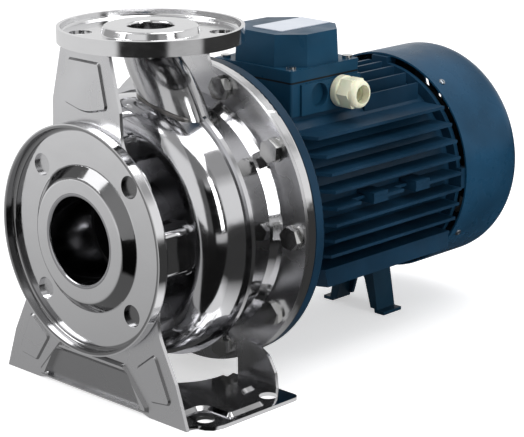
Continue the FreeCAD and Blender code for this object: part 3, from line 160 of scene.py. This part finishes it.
# Machined and bare metals: name, colour, roughness, CAD nodes.
TURNED_METALS = (
    ("bolt_steel", (0.7, 0.7, 0.69), 0.14,
     ("casing_bolts", "casing_washers", "lid_screws", "motor_foot_screws")),
    ("wear_bronze", (0.55, 0.38, 0.18), 0.3, ("wear_ring",)),
    ("stud_brass", (0.75, 0.55, 0.25), 0.25, ("terminal_studs",)),
    ("cage_brass", (0.7, 0.5, 0.22), 0.3, ("front_bearing_cage", "rear_bearing_cage")),
    ("seal_steel", (0.55, 0.55, 0.56), 0.25, ("seal_head",)),
    ("impeller_steel", (0.08, 0.08, 0.083), 0.45, ("impeller", "impeller_nut")),
    ("shaft_steel", (0.55, 0.55, 0.55), 0.2, ("shaft",)),
    ("bearing_steel", (0.6, 0.6, 0.6), 0.12,
     ("front_bearing_outer", "front_bearing_inner", "front_bearing_balls",
      "rear_bearing_outer", "rear_bearing_inner", "rear_bearing_balls")),
    ("stator_iron", (0.2, 0.2, 0.21), 0.5, ("stator_core",)),
    ("copper_wire", (0.6, 0.25, 0.1), 0.35, ("stator_windings",)),
    ("rotor_alloy", (0.55, 0.55, 0.56), 0.4, ("rotor_core",)),
)

# Weld round the foot of the discharge pipe. Level rays towards the pipe's middle, from the top
# down, find where its outside comes within the gap of the casing.
WELD_TURNS = (*range(30, 180, 10), *range(190, 345, 10))
WELD_MIDDLE = Vector((0.022, 0.011, 0))
WELD_TOP = 0.262
WELD_STEP = 0.0005
WELD_STEPS = 110
WELD_REACH = 0.08
WELD_GAP = 0.0009
# Radius of the bead, the share by which it varies, and the phase from one point to the next.
WELD_RADIUS = 0.0014
WELD_UNEVENNESS = 0.18
WELD_PHASE = 2.4

# Screws round the fan cover: angles from the top, place along the shaft, points of radius and
# height of the head in millimetres, and sides of its circles.
COVER_SCREW_ANGLES = (37, 124, -124, -37)
COVER_SCREW_Y = 0.302
SCREW_PROFILE = ((0.9, 0.7), (1.15, 1.5), (2.2, 1.35), (2.9, 0.8), (3.2, -0.5))
SCREW_SIDES = 20


def add_object(name, data):
    item = bpy.data.objects.new(name, data)
    bpy.context.scene.collection.objects.link(item)
    return item


def make_camera():
    """The photograph's camera."""
    back = Vector((
        math.sin(CAMERA_AZIMUTH) * math.cos(CAMERA_ELEVATION),
        -math.cos(CAMERA_AZIMUTH) * math.cos(CAMERA_ELEVATION),
        math.sin(CAMERA_ELEVATION),
    ))
    level = Vector((math.cos(CAMERA_AZIMUTH), math.sin(CAMERA_AZIMUTH), 0))
    right = Matrix.Rotation(CAMERA_ROLL, 3, back) @ level
    axes = Matrix((right, back.cross(right), back)).transposed().to_4x4()
    data = bpy.data.cameras.new("photo_camera")
    data.lens = CAMERA_LENS
    data.sensor_width = CAMERA_SENSOR
    data.clip_start, data.clip_end = CAMERA_CLIP
    camera = add_object("photo_camera", data)
    camera.matrix_world = Matrix.Translation(CAMERA_PLACE) @ axes
    bpy.context.scene.camera = camera


def scaled(color, share):
    """A colour times a share of its brightness."""
    return tuple(value * share for value in color)


class Finish:
    """A procedural material: a principled shader and the textures that drive it."""

    def __init__(self, name, color, roughness, metallic=0.0, **sockets):
        self.roughness = roughness
        self.material = bpy.data.materials.new(name)
        self.material.use_nodes = True
        self.tree = self.material.node_tree
        self.shader = self.tree.nodes["Principled BSDF"]
        self.set("Base Color", (*color, 1))
        self.set("Metallic", metallic)
        self.set("Roughness", roughness)
        for socket, value in sockets.items():
            self.set(socket.replace("_", " "), value)
        self.place = self.add("ShaderNodeTexCoord").outputs["Object"]

    def set(self, socket, value):
        self.shader.inputs[socket].default_value = value

    def add(self, kind, **settings):
        node = self.tree.nodes.new(kind)
        for name, value in settings.items():
            setattr(node, name, value)
        return node

    def link(self, source, target):
        self.tree.links.new(source, target)

    def drive(self, socket, source):
        self.link(source, self.shader.inputs[socket])

    def mapped(self, scale, move=(0, 0, 0)):
        """Object coordinates times a scale along each axis, then moved."""
        mapping = self.add("ShaderNodeMapping")
        self.link(self.place, mapping.inputs["Vector"])
        mapping.inputs["Scale"].default_value = scale
        mapping.inputs["Location"].default_value = move
        return mapping.outputs["Vector"]

    def noise(self, scale, detail, stretch=None, distortion=0.0):
        texture = self.add("ShaderNodeTexNoise")
        self.link(self.mapped(stretch) if stretch else self.place, texture.inputs["Vector"])
        texture.inputs["Scale"].default_value = scale
        texture.inputs["Detail"].default_value = detail
        texture.inputs["Distortion"].default_value = distortion
        return texture.outputs["Fac"]

    def spread(self, source, low, high, start=0.3, end=0.7):
        """Maps values from start to end, by default most of a noise, onto low to high."""
        node = self.add("ShaderNodeMapRange")
        self.link(source, node.inputs["Value"])
        node.inputs["From Min"].default_value = start
        node.inputs["From Max"].default_value = end
        node.inputs["To Min"].default_value = low
        node.inputs["To Max"].default_value = high
        return node.outputs["Result"]

    def rise(self, source, limits):
        """A mask of 0 below both limits and 1 above them."""
        return self.spread(source, 0, 1, *limits)

    def fall(self, source, limits):
        """A mask of 1 below both limits and 0 above them."""
        return self.spread(source, 1, 0, *limits)

    def math(self, operation, *values):
        """A Math node fed by sockets and numbers."""
        node = self.add("ShaderNodeMath", operation=operation)
        for socket, value in zip(node.inputs, values):
            if isinstance(value, (int, float)):
                socket.default_value = value
            else:
                self.link(value, socket)
        return node.outputs["Value"]

    def both(self, first, second):
        """Where two masks hold together."""
        return self.math("MULTIPLY", first, second)

    def along(self, axis, vector=None):
        """One axis of a vector, by default of the object coordinates."""
        node = self.add("ShaderNodeSeparateXYZ")
        self.link(self.place if vector is None else vector, node.inputs["Vector"])
        return node.outputs[axis]

    def from_shaft(self):
        """Distance from the pump's axis."""
        node = self.add("ShaderNodeVectorMath", operation="LENGTH")
        self.link(self.mapped((1, 0, 1), (0, 0, -SHAFT_HEIGHT)), node.inputs[0])
        return node.outputs["Value"]

    def facing_motor(self):
        """How squarely the surface faces along the shaft: 1 to the motor, -1 to the suction."""
        return self.along("Y", self.add("ShaderNodeTexCoord").outputs["Normal"])

    def facing_ends(self):
        """How squarely the surface faces along the shaft, either way."""
        return self.math("ABSOLUTE", self.facing_motor())

    def facing_suction(self):
        """How squarely the surface faces the suction side; negative where it faces away."""
        return self.math("MULTIPLY", self.facing_motor(), -1)

    def blend_colors(self, factor, first, second):
        """Mixes two colours, each a socket or a tuple."""
        node = self.add("ShaderNodeMix", data_type="RGBA")
        self.link(factor, node.inputs["Factor"])
        colors = [item for item in node.inputs if item.type == "RGBA"]
        for target, value in zip(colors, (first, second)):
            if isinstance(value, tuple):
                target.default_value = (*value, 1)
            else:
                self.link(value, target)
        return [item for item in node.outputs if item.type == "RGBA"][0]

    def vary_roughness(self, texture, least, most):
        """Roughness between two shares of the finish's own."""
        self.drive("Roughness",
                   self.spread(texture, self.roughness * least, self.roughness * most))

    def bumps(self, *layers):
        """Chains bump layers of (texture, height, strength)."""
        normal = None
        for texture, height, strength in layers:
            node = self.add("ShaderNodeBump")
            node.inputs["Distance"].default_value = height
            node.inputs["Strength"].default_value = strength
            self.link(texture, node.inputs["Height"])
            if normal:
                self.link(normal, node.inputs["Normal"])
            normal = node.outputs["Normal"]
        self.drive("Normal", normal)


def polished_steel(name, color, roughness, wave, wave_scale=14, painted_end_shade=None, paints_flange_shade=False):
    """Mirror-polished pressing: soft waves in the sheet and faint smears.

    What faces along the shaft can get painted shade. On the suction flange, the bore, the slopes
    of the raised face and the inside of the rim get painted shade.
    """
    finish = Finish(name, color, roughness, metallic=1.0)
    smears = finish.noise(scale=38, detail=4, stretch=(1, 1, 2.2), distortion=0.6)
    finish.vary_roughness(smears, least=0.6, most=1.7)
    shade = finish.blend_colors(finish.noise(scale=9, detail=2), color, scaled(color, 0.9))
    # Painted shade on faces that look along the shaft.
    if painted_end_shade:
        shade = finish.blend_colors(finish.rise(finish.facing_ends(), END_SHADE_FACING), shade,
                                    painted_end_shade)
    # Painted shade on the suction flange's bore, slopes and rim.
    if paints_flange_shade:
        slopes = finish.both(finish.fall(finish.facing_ends(), SLOPE_FACING),
                             finish.fall(finish.from_shaft(), SLOPE_RADII))
        shade = finish.blend_colors(slopes, shade, scaled(color, PAINTED_SLOPE_SHADE))
        rim = finish.both(finish.rise(finish.from_shaft(), RIM_START_RADII),
                          finish.fall(finish.from_shaft(), RIM_END_RADII))
        shade = finish.blend_colors(rim, shade, scaled(color, PAINTED_RIM_SHADE))
    finish.drive("Base Color", shade)
    finish.bumps((finish.noise(wave_scale, detail=1.5), wave, 0.6),
                 (finish.noise(scale=45, detail=2), wave * 0.25, 0.6))
    return finish.material


def sheet_steel(name, color, roughness, is_front_plate=False):
    """Flat sheet with fine grinding lines and painted shade in its pressed creases.

    On the front plate, the recessed fields are a darker tone, and what lies behind the suction
    flange on the gland's side gets painted shadow.
    """
    finish = Finish(name, color, roughness, metallic=1.0, Anisotropic=0.25)
    lines = finish.noise(scale=700, detail=2, stretch=(0.08, 1, 1))
    cloud = finish.noise(scale=20, detail=3)
    finish.vary_roughness(cloud, least=0.75, most=1.35)
    shade = finish.blend_colors(cloud, color, scaled(color, 0.92))
    # Painted shade in the pressed creases.
    creases = finish.both(finish.fall(finish.facing_ends(), CREASE_END_FACING),
                          finish.rise(finish.facing_ends(), CREASE_START_FACING))
    shade = finish.blend_colors(creases, shade, scaled(color, PAINTED_CREASE_SHADE))
    if is_front_plate:
        recess = finish.both(finish.rise(finish.along("Y"), RECESS_Y),
                             finish.rise(finish.facing_suction(), RECESS_FACING))
        shade = finish.blend_colors(recess, shade, scaled(color, RECESS_SHADE))
        # Painted shadow behind the suction flange, on the gland's side.
        behind = finish.both(finish.fall(finish.from_shaft(), BEHIND_FLANGE_RADII),
                             finish.rise(finish.along("X"), BEHIND_FLANGE_X))
        shade = finish.blend_colors(behind, shade, scaled(color, PAINTED_FLANGE_SHADOW))
    finish.drive("Base Color", shade)
    finish.bumps((finish.noise(scale=8, detail=1), 0.0012, 0.4), (lines, 0.00003, 0.4))
    return finish.material


def motor_enamel(name, color, roughness, peel):
    """Satin enamel: orange peel, uneven gloss and slightly paler film in places."""
    finish = Finish(name, color, roughness, Specular_IOR_Level=0.16)
    cloud = finish.spread(finish.noise(scale=16, detail=4), 0, 1)
    pale = tuple(value * 1.35 + 0.004 for value in color)
    finish.drive("Base Color", finish.blend_colors(cloud, scaled(color, 0.8), pale))
    finish.vary_roughness(finish.noise(scale=60, detail=3), least=0.8, most=1.25)
    finish.bumps((finish.noise(scale=260, detail=3), peel, 0.5),
                 (finish.noise(scale=900, detail=2), peel * 0.4, 0.4))
    return finish.material


def moulded(name, color, roughness, shade=0.85, skin=0.00008, **sockets):
    """Moulded plastic or rubber with a fine skin, here and there darker by a shade."""
    finish = Finish(name, color, roughness, **sockets)
    cloud = finish.noise(scale=60, detail=3)
    finish.drive("Base Color",
                 finish.blend_colors(finish.spread(cloud, 0, 1), color, scaled(color, shade)))
    finish.vary_roughness(cloud, least=0.85, most=1.2)
    finish.bumps((finish.noise(scale=1400, detail=2), skin, 0.5))
    return finish.material


def turned_metal(name, color, roughness):
    """Machined metal with fine turning marks round the shaft."""
    finish = Finish(name, color, roughness, metallic=1.0)
    lines = finish.noise(scale=2200, detail=1, stretch=(0.2, 1, 0.2))
    cloud = finish.noise(scale=50, detail=3)
    finish.vary_roughness(cloud, least=0.8, most=1.3)
    finish.drive("Base Color", finish.blend_colors(cloud, color, scaled(color, 0.85)))
    finish.bumps((lines, 0.00003, 0.4))
    return finish.material


def dress(material, *names):
    """Gives CAD nodes their finish."""
    for name in names:
        for slot in NODES[name].material_slots:
            slot.material = material


def dress_steel():
    """Flanges, casing and support."""
    # The suction flange gets painted shade on its bore, slopes and rim.
    dress(polished_steel("suction_steel", (0.9, 0.9, 0.915), 0.08, 0.0014, paints_flange_shade=True),
          "suction_flange")
    # The adapter and cover get painted shade where they face along the shaft.
    dress(polished_steel("adapter_steel", (0.86, 0.86, 0.87), 0.06, 0.004, wave_scale=9,
                         painted_end_shade=(0.42, 0.43, 0.44)), "motor_adapter", "casing_cover")
    for name, color, roughness, wave, nodes in POLISHED_STEELS:
        dress(polished_steel(name, color, roughness, wave), *nodes)
    sheet_color, sheet_roughness = (0.78, 0.78, 0.795), 0.24
    dress(sheet_steel("front_sheet", sheet_color, sheet_roughness, is_front_plate=True),
          "support_front_plate")
    dress(sheet_steel("support_sheet", sheet_color, sheet_roughness),
          "support_rear_plate", "support_rear_legs")


def dress_other_pieces():
    """Paint, plain metals, plastic and rubber."""
    for name, color, roughness, peel, nodes in MOTOR_PAINTS:
        dress(motor_enamel(name, color, roughness, peel), *nodes)
    for name, color, roughness, nodes in TURNED_METALS:
        dress(turned_metal(name, color, roughness), *nodes)
    dress(moulded("gland_plastic", (0.88, 0.87, 0.66), 0.3, shade=0.94, Subsurface_Weight=0.12,
                  Subsurface_Scale=0.004), "gland_body", "gland_nut")
    dress(moulded("seal_rubber", (0.008, 0.009, 0.01), 0.6, Specular_IOR_Level=0.2),
          "casing_o_ring", "slinger", "terminal_gasket", "seal_bellows")
    dress(moulded("seal_carbon", (0.03, 0.03, 0.035), 0.35), "seal_seat")
    dress(moulded("fan_plastic", (0.02, 0.02, 0.022), 0.45), "cooling_fan")
    dress(moulded("block_plastic", (0.03, 0.03, 0.03), 0.5), "terminal_block")
    dress(moulded("plate_film", (0.62, 0.66, 0.73), 0.35, shade=0.95, skin=0.00002), "lid_plate")


def lathe_mesh(name, profile, sides):
    """A closed turned mesh: profile points of (radius, height) in millimetres round Z."""
    shape = bmesh.new()
    turns = [2 * math.pi * step / sides for step in range(sides)]
    rings = [[shape.verts.new((radius * MILLIMETRE * math.cos(turn),
                               radius * MILLIMETRE * math.sin(turn),
                               height * MILLIMETRE)) for turn in turns]
             for radius, height in profile]
    for inner, outer in zip(rings, rings[1:]):
        for step in range(sides):
            after = (step + 1) % sides
            shape.faces.new((inner[step], outer[step], outer[after], inner[after]))
    shape.faces.new(rings[0])
    shape.faces.new(list(reversed(rings[-1])))
    bmesh.ops.recalc_face_normals(shape, faces=shape.faces)
    mesh = bpy.data.meshes.new(name)
    shape.to_mesh(mesh)
    shape.free()
    return mesh


def make_cover_screws():
    """Four round-headed screws that hold the fan cover."""
    low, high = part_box("fan_cover")
    radius = (high.x - low.x) / 2
    material = turned_metal("screw_zinc", (0.42, 0.46, 0.5), 0.3)
    for number, angle in enumerate(COVER_SCREW_ANGLES):
        out = Vector((math.sin(math.radians(angle)), 0, math.cos(math.radians(angle))))
        place = out * radius + Vector((0, COVER_SCREW_Y, SHAFT_HEIGHT))
        name = f"cover_screw_{number}"
        mesh = lathe_mesh(name, SCREW_PROFILE, SCREW_SIDES)
        turn = out.to_track_quat("Z", "Y").to_matrix().to_4x4()
        mesh.transform(Matrix.Translation(place) @ turn)
        mesh.materials.append(material)
        screw = add_object(name, mesh)
        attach(screw, "pump")


def surface_tree(*names):
    """Search tree over the faces of CAD nodes."""
    points, faces = [], []
    for name in names:
        mesh = NODES[name].data
        start = len(points)
        points += [vertex.co.copy() for vertex in mesh.vertices]
        faces += [tuple(start + index for index in face.vertices) for face in mesh.polygons]
    return BVHTree.FromPolygons(points, faces)


def joint_points():
    """Where the outside of the discharge pipe comes down onto the casing, all round the pipe."""
    pipe = surface_tree("discharge_pipe")
    shell = surface_tree("casing_front_shell", "casing_rear_shell")
    points = []
    for turn in WELD_TURNS:
        out = Vector((math.cos(math.radians(turn)), math.sin(math.radians(turn)), 0))
        for step in range(WELD_STEPS):
            height = Vector((0, 0, WELD_TOP - step * WELD_STEP))
            place = pipe.ray_cast(WELD_MIDDLE + height + out * WELD_REACH, -out, WELD_REACH)[0]
            if place and shell.find_nearest(place)[3] < WELD_GAP:
                points.append(place)
                break
    return points


def make_pipe_weld():
    """Bead of weld round the foot of the discharge pipe, a little uneven along its length."""
    data = bpy.data.curves.new("pipe_weld", "CURVE")
    data.dimensions = "3D"
    data.bevel_depth = WELD_RADIUS
    data.bevel_resolution = 3
    data.resolution_u = 10
    points = joint_points()
    line = data.splines.new("NURBS")
    line.points.add(len(points) - 1)
    for number, (point, place) in enumerate(zip(line.points, points)):
        point.co = (*place, 1)
        point.radius = 1 + WELD_UNEVENNESS * math.sin(number * WELD_PHASE)
    line.use_cyclic_u = True
    line.order_u = 3
    data.materials.append(polished_steel("weld_steel", (0.3, 0.29, 0.28), 0.3, 0.002,
                                         wave_scale=160))
    weld = add_object("pipe_weld", data)
    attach(weld, "pump")


def empty_material(name):
    """A material, its node tree and the socket for its surface."""
    material = bpy.data.materials.new(name)
    material.use_nodes = True
    tree = material.node_tree
    tree.nodes.clear()
    return material, tree, tree.nodes.new("ShaderNodeOutputMaterial").inputs["Surface"]


def floor_material():
    """Floor that is white to the camera, keeps the pump's shadow and is greyer in the metal."""
    material, tree, output = empty_material("studio_floor")
    path = tree.nodes.new("ShaderNodeLightPath")
    diffuse = tree.nodes.new("ShaderNodeBsdfDiffuse")
    diffuse.inputs["Color"].default_value = (*FLOOR_COLOR, 1)
    surface = diffuse.outputs["BSDF"]
    for ray, strength in FLOOR_GLOWS:
        glow = tree.nodes.new("ShaderNodeEmission")
        glow.inputs["Strength"].default_value = strength
        together = tree.nodes.new("ShaderNodeAddShader")
        tree.links.new(diffuse.outputs["BSDF"], together.inputs[0])
        tree.links.new(glow.outputs["Emission"], together.inputs[1])
        blend = tree.nodes.new("ShaderNodeMixShader")
        tree.links.new(path.outputs[ray], blend.inputs["Fac"])
        tree.links.new(surface, blend.inputs[1])
        tree.links.new(together.outputs["Shader"], blend.inputs[2])
        surface = blend.outputs["Shader"]
    tree.links.new(surface, output)
    return material


def make_floor():
    mesh = bpy.data.meshes.new("studio_floor")
    half = FLOOR_SIZE / 2
    corners = [(-half, -half, 0), (half, -half, 0), (half, half, 0), (-half, half, 0)]
    mesh.from_pydata(corners, [], [(0, 1, 2, 3)])
    mesh.materials.append(floor_material())
    card = add_object("studio_floor", mesh)
    card.location = FLOOR_PLACE


def make_world():
    """A white world that lights the pump less than it shows."""
    world = bpy.data.worlds.new("studio_world")
    bpy.context.scene.world = world
    world.use_nodes = True
    tree = world.node_tree
    background = tree.nodes["Background"]
    background.inputs["Color"].default_value = (1, 1, 1, 1)
    path = tree.nodes.new("ShaderNodeLightPath")
    seen = tree.nodes.new("ShaderNodeMath")
    seen.operation = "MAXIMUM"
    tree.links.new(path.outputs["Is Camera Ray"], seen.inputs[0])
    tree.links.new(path.outputs["Is Glossy Ray"], seen.inputs[1])
    strength = tree.nodes.new("ShaderNodeMapRange")
    strength.inputs["To Min"].default_value = WORLD_LIGHT
    strength.inputs["To Max"].default_value = WORLD_SEEN
    tree.links.new(seen.outputs["Value"], strength.inputs["Value"])
    tree.links.new(strength.outputs["Result"], background.inputs["Strength"])


def soft_step(value, low, high, edge):
    """1 inside a range and 0 outside it, with soft edges."""
    rise = min(max((value - low) / edge + 0.5, 0), 1)
    fall = min(max((high - value) / edge + 0.5, 0), 1)
    return rise * rise * (3 - 2 * rise) * fall * fall * (3 - 2 * fall)


def turned_from(azimuth, start):
    """The same azimuth by whole turns, from 90 degrees before a start to 270 after it."""
    return (azimuth - start + 90) % 360 + start - 90


def sky_level(azimuth, elevation):
    """Brightness that polished metal sees at an angle round the pump and above the horizon."""
    level = SKY_BASE
    for azimuths, elevations, edge, patch in SKY_PATCHES:
        share = soft_step(turned_from(azimuth, azimuths[0]), *azimuths, edge)
        share *= soft_step(elevation, *elevations, edge)
        level += (patch - level) * share
    return level


def floor_level(azimuth, distance):
    """Brightness of the floor that polished metal sees at an angle and distance."""
    # Sectors darker near the pump than far away paint the pump's shadow.
    level = 0
    for start, end, near, far, close, distant in FLOOR_SECTORS:
        share = soft_step(turned_from(azimuth, start), start, end, FLOOR_SECTOR_EDGE)
        reach = min(max((distance - close) / (distant - close), 0), 1)
        level += (near + (far - near) * reach) * share
    return level


def glow_material():
    """Light of its own, as strong as the mesh's level attribute says."""
    material, tree, output = empty_material("reflected_studio")
    glow = tree.nodes.new("ShaderNodeEmission")
    level = tree.nodes.new("ShaderNodeAttribute")
    level.attribute_name = "level"
    tree.links.new(level.outputs["Fac"], glow.inputs["Strength"])
    tree.links.new(glow.outputs["Emission"], output)
    return material


def ring_points(radius, height, middle=(0, 0)):
    """A level circle of points, one for each reflected direction."""
    angles = [math.radians(turn) for turn in REFLECTED_TURNS]
    return [(math.sin(angle) * radius + middle[0], -math.cos(angle) * radius + middle[1], height)
            for angle in angles]


def add_reflected(name, rings, levels):
    """Rings of points joined by faces that only polished metal sees, each with a brightness."""
    mesh = bpy.data.meshes.new(name)
    across = len(rings[0])
    faces = []
    for start in range(0, (len(rings) - 1) * across, across):
        for here in range(across):
            after = (here + 1) % across
            faces.append((start + here, start + after,
                          start + across + after, start + across + here))
    mesh.from_pydata([point for ring in rings for point in ring], [], faces)
    attribute = mesh.attributes.new("level", "FLOAT", "POINT")
    attribute.data.foreach_set("value", [level for ring in levels for level in ring])
    mesh.materials.append(glow_material())
    item = add_object(name, mesh)
    item.visible_camera = False
    item.visible_diffuse = False
    item.visible_shadow = False
    item.visible_transmission = False


def make_reflected_studio():
    """Pale sky with grey and dark patches and a floor in sectors, seen in polished metal only."""
    rings, levels = [], []
    for rise in SKY_RISES:
        out, up = math.cos(math.radians(rise)), math.sin(math.radians(rise))
        rings.append(ring_points(out * SKY_RADIUS, SHAFT_HEIGHT + up * SKY_RADIUS))
        levels.append([sky_level(turn, rise) for turn in REFLECTED_TURNS])
    add_reflected("reflected_sky", rings, levels)
    # The reflected floor carries painted shadow of the pump near it.
    rings, levels = [], []
    for distance in REFLECTED_FLOOR_DISTANCES:
        rings.append(ring_points(distance, REFLECTED_FLOOR_HEIGHT, REFLECTED_FLOOR_MIDDLE))
        levels.append([floor_level(turn, distance) for turn in REFLECTED_TURNS])
    add_reflected("reflected_floor", rings, levels)


def make_lights():
    for name, place, size, power in STUDIO_LIGHTS:
        data = bpy.data.lights.new(name, "AREA")
        data.shape = "RECTANGLE"
        data.size, data.size_y = size
        data.energy = power
        light = add_object(name, data)
        light.location = place
        aim = STUDIO_MIDDLE - Vector(place)
        light.rotation_euler = aim.to_track_quat("-Z", "Y").to_euler()


make_camera()
dress_steel()
dress_other_pieces()
make_cover_screws()
make_pipe_weld()
make_floor()
make_world()
make_reflected_studio()
make_lights()
bpy.context.scene.view_settings.view_transform = "Standard"
